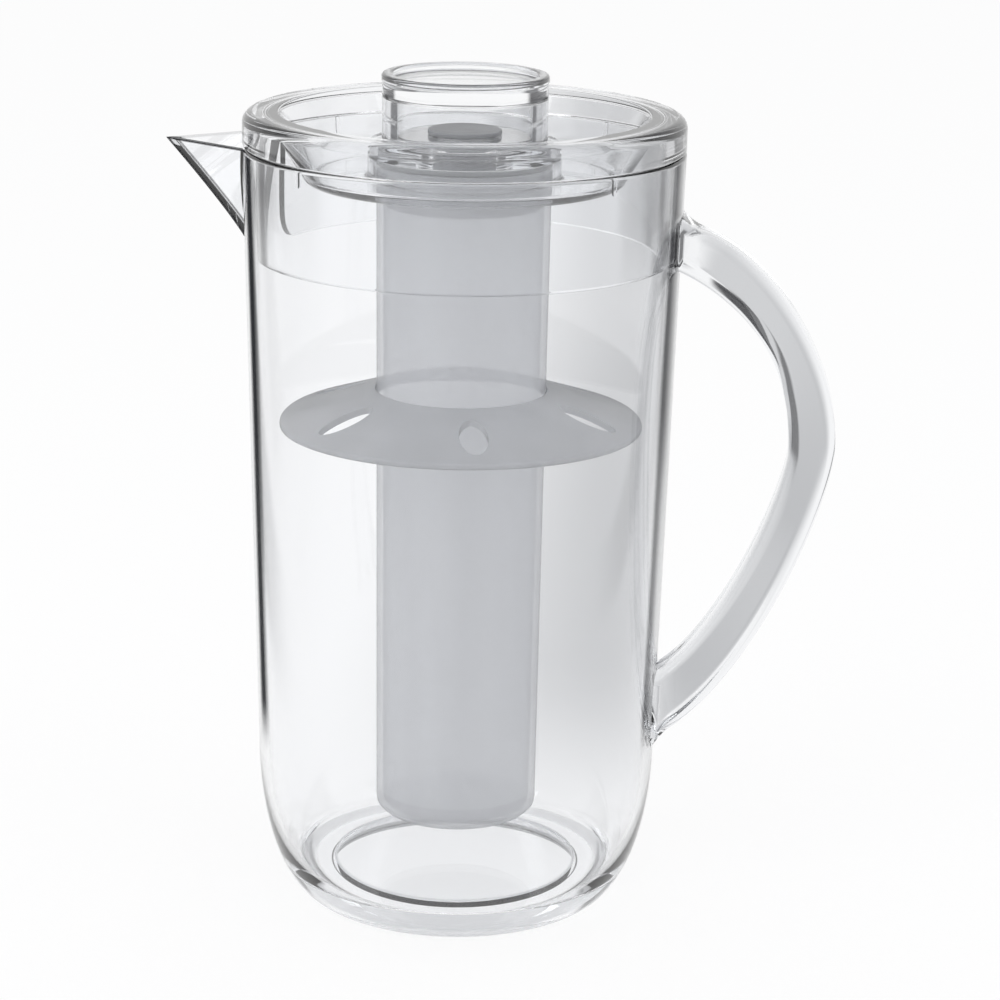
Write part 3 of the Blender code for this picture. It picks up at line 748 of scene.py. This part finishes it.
def handle_curves():
    """The outer and inner lines of the arch, as (distance from the jug's axis, height) points."""
    top_z, peak_z, low_z = 0.2267, 0.1572, 0.0558
    flare, flare_deg, flare_pull, flare_steps = 0.0070, 60.0, 0.0042, 12
    top_deg, top_back_deg, low_deg, low_back_deg = -16.3, 163.7, 37.0, 217.0
    shoulder = along((wall_r(top_z), top_z), top_deg, flare)
    heel = along((wall_r(low_z), low_z), low_deg, flare)
    flare_top = (bore_r(top_z), top_z + flare)
    flare_low = (bore_r(low_z), low_z - flare)
    outer = bezier(flare_top, along(flare_top, -flare_deg, flare_pull),
                   along(shoulder, top_back_deg, flare_pull), shoulder, flare_steps)
    outer += half_arches(shoulder, top_deg, (HANDLE_REACH, peak_z), heel, low_deg, (0.0215, 0.0283, 0.0186, 0.0345))
    outer += bezier(heel, along(heel, low_back_deg, flare_pull),
                    along(flare_low, flare_deg, flare_pull), flare_low, flare_steps)
    outer.append(flare_low)
    top_z, grip_z, low_z, run_in = 0.2119, 0.1546, 0.0785, 0.0036
    top_deg, top_back_deg, low_deg, low_back_deg = -27.0, 153.0, 38.8, 218.8
    finger_top = (wall_r(top_z), top_z)
    finger_low = (wall_r(low_z), low_z)
    inner = [along(finger_top, top_back_deg, run_in)]
    inner += half_arches(finger_top, top_deg, (HANDLE_REACH - HANDLE_T, grip_z), finger_low, low_deg,
                         (0.0265, 0.0285, 0.0102, 0.0297))
    inner += [finger_low, along(finger_low, low_back_deg, run_in)]
    return resample(outer, HANDLE_SECTIONS), resample(inner, HANDLE_SECTIONS)


def handle_section(outer, inner, half_width):
    """A rounded rectangle across the arch."""
    thick = math.dist(outer, inner)
    size = min(HANDLE_ROUND, 0.45 * thick)
    out = ((outer[0] - inner[0]) / thick, (outer[1] - inner[1]) / thick)
    points = []
    for cx, cy, start in ((thick - size, half_width - size, 0.0), (size, half_width - size, 90.0),
                          (size, size - half_width, 180.0), (thick - size, size - half_width, 270.0)):
        for p in arc((cx, cy), (size, size), start, start + 90.0, 8):
            points.append((AXIS_X + inner[0] + out[0] * p[0], p[1], inner[1] + out[1] * p[0]))
    return points


FLARE_STEPS = 9.0
outer_line, inner_line = handle_curves()
sections = []
last = len(outer_line) - 1
for i in range(last + 1):
    near_root = max(0.0, 1.0 - min(i, last - i) / FLARE_STEPS)
    half_width = HANDLE_W / 2.0 + HANDLE_FLARE * near_root ** 2
    sections.append(handle_section(outer_line[i], inner_line[i], half_width))
handle = loft("handle_arch", sections)
carve(handle, inside_wall)
dress(handle, "handle", "pitcher", handle_clear)


# Lid

def lid_outline():
    """Round the ring, the skirt, the trough and the socket."""
    ring_r = RIM_R - TRIM
    return rounded([
        (ring_r, RING_TOP_Z, RING_ROUND), (ring_r, RING_LOW_Z, 0.0005), (SKIRT_TOP_R, RING_LOW_Z, 0.0004),
        (SKIRT_LOW_R, SKIRT_LOW_Z, 0.0007), (SKIRT_BORE_R, SKIRT_LOW_Z, 0.0007),
        (RING_UNDER_OUTER_R, RING_UNDER_Z, 0.0012), (RING_UNDER_INNER_R, RING_UNDER_Z, 0.0015),
        (TROUGH_UNDER_R, TROUGH_UNDER_Z, TROUGH_ROUND), (SOCKET_BORE_R, TROUGH_UNDER_Z, 0.0005),
        (SOCKET_BORE_R, SOCKET_CEILING_Z, 0.0004), (STUD_HOLE_R, SOCKET_CEILING_Z, 0.0002),
        (STUD_HOLE_R, SPIGOT_TOP_Z, 0.0003), (SPIGOT_R, SPIGOT_TOP_Z, 0.0004), (SPIGOT_R, LEDGE_Z, 0.0002),
        (SOCKET_R, LEDGE_Z, 0.0009), (SOCKET_R, TROUGH_Z, 0.0010), (TROUGH_R, TROUGH_Z, TROUGH_ROUND),
        (RING_INNER_R, RING_TOP_Z, 0.0010)], True)


def pour_gap():
    """A wedge below the ring, which rounds the skirt's lower corners."""
    near, far = 0.0584, 0.0750
    corner = arc((POUR_ROUND, SKIRT_LOW_Z + POUR_ROUND), (POUR_ROUND, POUR_ROUND), 270.0, 180.0, 16)
    sections = []
    for flare, z in [(POUR_ROUND, SKIRT_LOW_Z - 0.005)] + corner + [(0.0, RING_LOW_Z)]:
        slope = math.tan(POUR_HALF_ANGLE + flare / bore_r(z))
        sections.append([(AXIS_X - near, -near * slope, z), (AXIS_X - near, near * slope, z),
                         (AXIS_X - far, far * slope, z), (AXIS_X - far, -far * slope, z)])
    return loft("pour_gap", sections)


def rib(index):
    """A short centring rib under the ring, on the outside of the skirt."""
    root, tip = 0.0650, 0.0665
    angle = RIB_START + 2.0 * math.pi / RIB_COUNT * index
    sections = []
    levels = ((0.2530, 0.0007), (0.2439, 0.0007), (0.2432, 0.00055), (0.2428, 0.0003))  # height, half width
    for z, side in levels:
        corners = ((root, -side), (tip, -side), (tip, side), (root, side))
        sections.append([(AXIS_X + x * math.cos(angle) - y * math.sin(angle),
                          x * math.sin(angle) + y * math.cos(angle), z) for x, y in corners])
    return loft("rib", sections)


lid = lathe("lid_moulding", lid_outline(), True)
carve(lid, pour_gap())
for index in range(RIB_COUNT):
    carve(lid, rib(index), "UNION")
dress(lid, "lid", "lid", lid_clear, sharp_deg=35.0)

knob = lathe("grip_knob", rounded([
    (0.0, KNOB_PLATE_Z, 0.0), (KNOB_LIP_R, KNOB_PLATE_Z, 0.0007), (KNOB_LIP_R, KNOB_TOP_Z, KNOB_ROUND),
    (KNOB_R, KNOB_TOP_Z, KNOB_ROUND), (KNOB_R, KNOB_PLATE_Z, 0.0002), (KNOB_WALL_R, KNOB_BEAD_Z, 0.0001),
    (KNOB_WALL_R, KNOB_LOW_Z, 0.0004), (KNOB_BORE_R, KNOB_LOW_Z, 0.0004), (KNOB_BORE_R, KNOB_CEILING_Z, 0.0012),
    (0.0, KNOB_CEILING_Z, 0.0)], False), False)
dress(knob, "lid_knob", "lid", knob_clear, sharp_deg=35.0)

cap = lathe("stud_cap", rounded([
    (0.0, STUD_TOP_Z, 0.0), (STUD_HEAD_R, STUD_TOP_Z, 0.0006), (STUD_HEAD_R, STUD_HEAD_Z, 0.0002),
    (STUD_R, STUD_HEAD_Z, 0.0002), (STUD_R, CAP_TOP_Z, 0.0003), (TUBE_TOP_R, CAP_TOP_Z, 0.0004),
    (TUBE_TOP_R, CAP_FLANGE_Z, 0.0003), (PLUG_R, CAP_FLANGE_Z, 0.0002), (PLUG_R, GROOVE_TOP_Z, 0.0002),
    (GROOVE_R, GROOVE_TOP_Z, 0.0002), (GROOVE_R, GROOVE_LOW_Z, 0.0002), (PLUG_R, GROOVE_LOW_Z, 0.0002),
    (PLUG_R, PLUG_LOW_Z, 0.0005), (PLUG_BORE_R, PLUG_LOW_Z, 0.0005), (PLUG_BORE_R, CAP_CEILING_Z, 0.0010),
    (0.0, CAP_CEILING_Z, 0.0)], False), False, CAP_AROUND)
dress(cap, "core_cap", "lid", cap_frosted, sharp_deg=35.0)

ring = [(SEAL_R + SEAL_HALF_T * math.cos(a), SEAL_Z + SEAL_HALF_T * math.sin(a))
        for a in [2.0 * math.pi * k / SEAL_POINTS for k in range(SEAL_POINTS)]]
seal = lathe("seal_ring", ring, True, CAP_AROUND)
dress(seal, "tube_seal", "lid", seal_soft, sharp_deg=80.0)

# Core tube
tube = lathe("frosted_core", rounded([
    (0.0, TUBE_FLOOR_Z, 0.0), (TUBE_FLOOR_R, TUBE_FLOOR_Z, 0.0024), (TUBE_BORE_R, TUBE_TOP_Z, TUBE_EDGE),
    (TUBE_TOP_R, TUBE_TOP_Z, TUBE_EDGE), (TUBE_LOW_R, TUBE_BOTTOM_Z, TUBE_ROUND), (0.0, TUBE_BOTTOM_Z, 0.0)],
    False), False, TUBE_AROUND)
dress(tube, "core_tube", "core", tube_frosted)

# Fruit disc
top_z = DISC_RIM_Z + DISC_RISE
top_r = tube_r(top_z) + DISC_FIT
collar_r = top_r + DISC_COLLAR_T
disc = lathe("fruit_cone", rounded([
    (top_r, top_z, 0.0004), (DISC_R, DISC_RIM_Z + DISC_T, DISC_EDGE), (DISC_R, DISC_RIM_Z, DISC_EDGE),
    (collar_r, DISC_UNDER_Z, 0.0010), (collar_r, DISC_COLLAR_Z, 0.0003),
    (top_r - DISC_BORE_TAPER, DISC_COLLAR_Z, 0.0003)], True), True)
for index in range(HOLE_COUNT):
    angle = HOLE_START + 2.0 * math.pi * index / HOLE_COUNT
    sections = []
    for z in (DISC_RIM_Z - HOLE_CUT_PAST, top_z + HOLE_CUT_PAST):
        section = []
        for k in range(HOLE_POINTS):
            a = 2.0 * math.pi * k / HOLE_POINTS
            x = HOLE_PITCH_R + 0.5 * HOLE_LENGTH * math.cos(a)
            y = 0.5 * HOLE_WIDTH * math.sin(a)
            section.append((AXIS_X + x * math.cos(angle) - y * math.sin(angle),
                            x * math.sin(angle) + y * math.cos(angle), z))
        sections.append(section)
    carve(disc, loft("oval_hole", sections))
soften(disc, width=0.0004, angle_deg=50.0)
dress(disc, "fruit_disc", "disc", disc_frosted)


# Stage: pale floor, soft light and the camera

CAMERA_HEIGHT = 0.416
CAMERA_AWAY = 1.0
CAMERA_ASIDE = 0.0131
YAW, PITCH, ROLL = math.radians(4.0), math.radians(15.79), math.radians(1.02)
FLAGS_FROM_X = 0.0703
FLAGS_TURN = 0.0698
AIM_Z = 0.13
FLOOR_GLOW = 0.84
SKY_SOFT = (0.84, 0.84, 0.85)
SKY_EYE = (1.0, 1.0, 1.0)
SKY_GLOSS = [(0.0, (1.0, 1.0, 1.0)), (0.28, (1.0, 1.0, 1.0)), (0.5, (0.55, 0.55, 0.56)),
             (0.75, (0.45, 0.45, 0.46)), (0.92, (0.95, 0.95, 0.96))]
SKY_BACK = [(0.0, (1.0, 1.0, 1.0)), (0.20, (1.0, 1.0, 1.0)), (0.35, (0.75, 0.75, 0.76)),
            (0.60, (0.90, 0.90, 0.91)), (0.80, (1.0, 1.0, 1.0))]
SKY_SIDE = [(0.0, (0.05, 0.05, 0.055)), (0.35, (0.10, 0.10, 0.105)), (0.5, (0.55, 0.55, 0.56)),
            (0.65, (1.0, 1.0, 1.0))]
FLOOR_WHITE = (0.96, 0.96, 0.965, 1.0)
FLOOR_GREY = (0.45, 0.455, 0.465, 1.0)
FLOOR_DARK = (0.03, 0.031, 0.034, 1.0)
FLOOR_HALF = 8.0
FLOOR_TOP_Z, FLOOR_LOW_Z = -0.0003, -0.0205

# Where the floor's grey rises and where it is lighter again, in metres
GREY_X, GREY_Y = (-0.10, 0.06), (0.0, 0.25)
GREY_FAR_Y, GREY_FAR_LIGHTER = (0.45, 0.95), 0.3
GREY_EDGE_X, GREY_EDGE_Y, GREY_EDGE_LIGHTER = (0.06, 0.12), (0.25, 0.75), 0.4

# The dark flags on the floor: (low, high, soft) across the camera's view, and how far off they start and end
RIGHT_FLAG, RIGHT_FLAG_Y = (0.16, 0.30, 0.035), (0.42, 0.58)
LEFT_FLAG, LEFT_FLAG_Y = (0.25, 0.32, 0.05), (0.0, 0.2)
FLAGS_END = (1.2, 1.6)

# The dark panels round the floor and sky: shares of a direction, and how far off or how high they start
PANEL_WIDE, PANEL_WIDE_OUT = (0.62, 0.70), (1.0, 1.3)
PANEL_RIGHT, PANEL_BAND = (0.12, 0.20), (0.18, 0.38, 0.05)
PANEL_RIGHT_OUT, PANEL_RIGHT_TOP = (2.3, 2.8), (0.06, 0.12)
PANEL_BEHIND = (0.15, 0.30)


def plastic_rays(tree):
    """1 for rays that met nothing but clear plastic on their way from the eye and come out of it."""
    path = tree.nodes.new("ShaderNodeLightPath")
    clear = math_node(tree, "LESS_THAN", path.outputs["Diffuse Depth"], 0.5)
    return math_node(tree, "MULTIPLY", path.outputs["Is Transmission Ray"], clear)


def panels(tree, wide, right, right_band, behind):
    """Where the dark panels behind the part show.

    wide and right are for rays that were turned back inside the plastic, and right_band for rays that went
    through one clear piece only.
    """
    path = tree.nodes.new("ShaderNodeLightPath")
    turned = math_node(tree, "GREATER_THAN", path.outputs["Glossy Depth"], 0.5)
    one_piece = math_node(tree, "LESS_THAN", path.outputs["Transmission Depth"], 3.5)
    by_turned = math_node(tree, "MULTIPLY", math_node(tree, "MAXIMUM", wide, right), turned)
    by_one = math_node(tree, "MULTIPLY", right_band, one_piece)
    return math_node(tree, "MULTIPLY", math_node(tree, "MAXIMUM", by_turned, by_one), behind)


def floor_grey(tree, x, y):
    """How grey the floor looks through the plastic: more to the far right."""
    grey = math_node(tree, "MULTIPLY", rise(tree, x, *GREY_X), rise(tree, y, *GREY_Y))
    far = math_node(tree, "MULTIPLY", rise(tree, y, *GREY_FAR_Y), GREY_FAR_LIGHTER)
    grey = math_node(tree, "MULTIPLY", grey, math_node(tree, "SUBTRACT", 1.0, far))
    near_right = math_node(tree, "MULTIPLY", rise(tree, x, *GREY_EDGE_X),
                           math_node(tree, "SUBTRACT", GREY_EDGE_LIGHTER, rise(tree, y, *GREY_EDGE_Y)))
    near_right = math_node(tree, "MAXIMUM", near_right, 0.0)
    return math_node(tree, "MULTIPLY", grey, math_node(tree, "SUBTRACT", 1.0, near_right))


def floor_dark(tree, x, y):
    """Where dark flags and panels show through the plastic."""
    away = math_node(tree, "ADD", y, CAMERA_AWAY)
    aside = math_node(tree, "DIVIDE", math_node(tree, "SUBTRACT", x, FLAGS_FROM_X), away)
    aside = math_node(tree, "ADD", aside, FLAGS_TURN)
    right = math_node(tree, "MULTIPLY", between(tree, aside, *RIGHT_FLAG), rise(tree, y, *RIGHT_FLAG_Y))
    left = math_node(tree, "MULTIPLY", between(tree, math_node(tree, "MULTIPLY", aside, -1.0), *LEFT_FLAG),
                     rise(tree, y, *LEFT_FLAG_Y))
    out = math_node(tree, "ADD", math_node(tree, "MULTIPLY", x, x), math_node(tree, "MULTIPLY", y, y))
    out = math_node(tree, "POWER", out, 0.5)
    near = math_node(tree, "SUBTRACT", 1.0, rise(tree, out, *FLAGS_END))
    flags = math_node(tree, "MULTIPLY", near, math_node(tree, "MAXIMUM", left, right))
    to_right = math_node(tree, "DIVIDE", x, out)
    sideways = math_node(tree, "ABSOLUTE", to_right, 0.0)
    behind = rise(tree, math_node(tree, "DIVIDE", y, out), *PANEL_BEHIND)
    wide = math_node(tree, "MULTIPLY", rise(tree, sideways, *PANEL_WIDE), rise(tree, out, *PANEL_WIDE_OUT))
    distant = rise(tree, out, *PANEL_RIGHT_OUT)
    far_right = math_node(tree, "MULTIPLY", rise(tree, to_right, *PANEL_RIGHT), distant)
    far_band = math_node(tree, "MULTIPLY", between(tree, to_right, *PANEL_BAND), distant)
    return math_node(tree, "MAXIMUM", flags, panels(tree, wide, far_right, far_band, behind))


def floor_material():
    """White to the eye with a soft shadow, and toned for rays through the plastic."""
    material = bpy.data.materials.new("pale_floor")
    material.use_nodes = True
    tree = material.node_tree
    tree.nodes.clear()
    output = tree.nodes.new("ShaderNodeOutputMaterial")
    diffuse = tree.nodes.new("ShaderNodeBsdfDiffuse")
    diffuse.inputs["Color"].default_value = FLOOR_WHITE
    white = tree.nodes.new("ShaderNodeEmission")
    white.inputs["Strength"].default_value = 1.0
    place = tree.nodes.new("ShaderNodeTexCoord")
    parts = tree.nodes.new("ShaderNodeSeparateXYZ")
    tree.links.new(place.outputs["Object"], parts.inputs["Vector"])
    x, y = parts.outputs["X"], parts.outputs["Y"]
    last = None
    for amount, colour in ((floor_grey(tree, x, y), FLOOR_GREY), (floor_dark(tree, x, y), FLOOR_DARK)):
        tone = tree.nodes.new("ShaderNodeMix")
        tone.data_type = "RGBA"
        tone.inputs["A"].default_value = (1.0, 1.0, 1.0, 1.0)
        tone.inputs["B"].default_value = colour
        if last:
            tree.links.new(last, tone.inputs["A"])
        tree.links.new(math_node(tree, "MULTIPLY", amount, plastic_rays(tree)), tone.inputs["Factor"])
        last = tone.outputs["Result"]
    tree.links.new(last, white.inputs["Color"])
    share = math_node(tree, "MULTIPLY", FLOOR_GLOW,
                      seen_rays(tree, ["Is Camera Ray", "Is Glossy Ray", "Is Transmission Ray"]))
    both = tree.nodes.new("ShaderNodeMixShader")
    tree.links.new(share, both.inputs["Fac"])
    tree.links.new(diffuse.outputs["BSDF"], both.inputs[1])
    tree.links.new(white.outputs["Emission"], both.inputs[2])
    tree.links.new(both.outputs["Shader"], output.inputs["Surface"])
    return material


floor = block("floor", (-FLOOR_HALF, -FLOOR_HALF, FLOOR_LOW_Z), (FLOOR_HALF, FLOOR_HALF, FLOOR_TOP_Z))
floor.data.materials.append(floor_material())

world = bpy.data.worlds.new("studio")
bpy.context.scene.world = world
world.use_nodes = True
tree = world.node_tree
tree.nodes.clear()
output = tree.nodes.new("ShaderNodeOutputWorld")
direction = tree.nodes.new("ShaderNodeTexCoord")
split = tree.nodes.new("ShaderNodeSeparateXYZ")
tree.links.new(direction.outputs["Generated"], split.inputs["Vector"])
sideways = math_node(tree, "ABSOLUTE", split.outputs["X"], 0.0)
through = plastic_rays(tree)
low = math_node(tree, "SUBTRACT", 1.0, rise(tree, split.outputs["Z"], *PANEL_RIGHT_TOP))
low_right = math_node(tree, "MULTIPLY", rise(tree, split.outputs["X"], *PANEL_RIGHT), low)
low_band = math_node(tree, "MULTIPLY", between(tree, split.outputs["X"], *PANEL_BAND), low)
flanks = panels(tree, rise(tree, sideways, *PANEL_WIDE), low_right, low_band,
                rise(tree, split.outputs["Y"], *PANEL_BEHIND))


def even_sky(colour):
    background = tree.nodes.new("ShaderNodeBackground")
    background.inputs["Color"].default_value = (*colour, 1.0)
    return background.outputs["Background"]


def graded_sky(stops):
    """A sky whose colour goes by its height."""
    background = tree.nodes.new("ShaderNodeBackground")
    sky = ramp(tree, stops)
    tree.links.new(split.outputs["Z"], sky.inputs["Fac"])
    tree.links.new(sky.outputs["Color"], background.inputs["Color"])
    return background.outputs["Background"]


shown = even_sky(SKY_SOFT)
for sky, share in ((graded_sky(SKY_GLOSS), seen_rays(tree, ["Is Glossy Ray"])),
                   (graded_sky(SKY_BACK), through),
                   (graded_sky(SKY_SIDE), math_node(tree, "MULTIPLY", through, flanks)),
                   (even_sky(SKY_EYE), seen_rays(tree, ["Is Camera Ray"]))):
    mix = tree.nodes.new("ShaderNodeMixShader")
    tree.links.new(share, mix.inputs["Fac"])
    tree.links.new(shown, mix.inputs[1])
    tree.links.new(sky, mix.inputs[2])
    shown = mix.outputs["Shader"]
tree.links.new(shown, output.inputs["Surface"])


def lamp(name, place, size, power):
    """A soft box that points at the middle of the part."""
    light = bpy.data.lights.new(name, "AREA")
    light.shape = "RECTANGLE"
    light.size, light.size_y = size
    light.energy = power
    item = bpy.data.objects.new(name, light)
    item.location = place
    aim = Vector((AXIS_X, 0.0, AIM_Z)) - Vector(place)
    item.rotation_euler = aim.to_track_quat("-Z", "Y").to_euler()
    item.visible_glossy = False
    bpy.context.scene.collection.objects.link(item)


lamp("key_softbox", (-1.2, -1.1, 1.5), (1.0, 1.0), 9.0)
lamp("fill_softbox", (1.3, -0.7, 1.3), (0.8, 1.0), 4.0)

camera = bpy.data.objects.new("camera", bpy.data.cameras.new("camera"))
camera.data.lens = 115.2
camera.data.sensor_width = 36.0
camera.data.clip_start, camera.data.clip_end = 0.05, 50.0
place = Vector((AXIS_X, 0.0, CAMERA_HEIGHT))
place += CAMERA_ASIDE * Vector((math.cos(YAW), math.sin(YAW), 0.0))
place += CAMERA_AWAY * Vector((math.sin(YAW), -math.cos(YAW), 0.0))
camera.matrix_world = (Matrix.Translation(place) @ Matrix.Rotation(YAW, 4, "Z")
                       @ Matrix.Rotation(math.pi / 2.0 - PITCH, 4, "X") @ Matrix.Rotation(ROLL, 4, "Z"))
bpy.context.scene.collection.objects.link(camera)
bpy.context.scene.camera = camera
bpy.context.scene.view_settings.view_transform = "Standard"
CLEAR_BOUNCES = 32  # enough for rays through all the clear walls
bpy.context.scene.cycles.max_bounces = CLEAR_BOUNCES
bpy.context.scene.cycles.transmission_bounces = CLEAR_BOUNCES
bpy.context.scene.cycles.transparent_max_bounces = CLEAR_BOUNCES
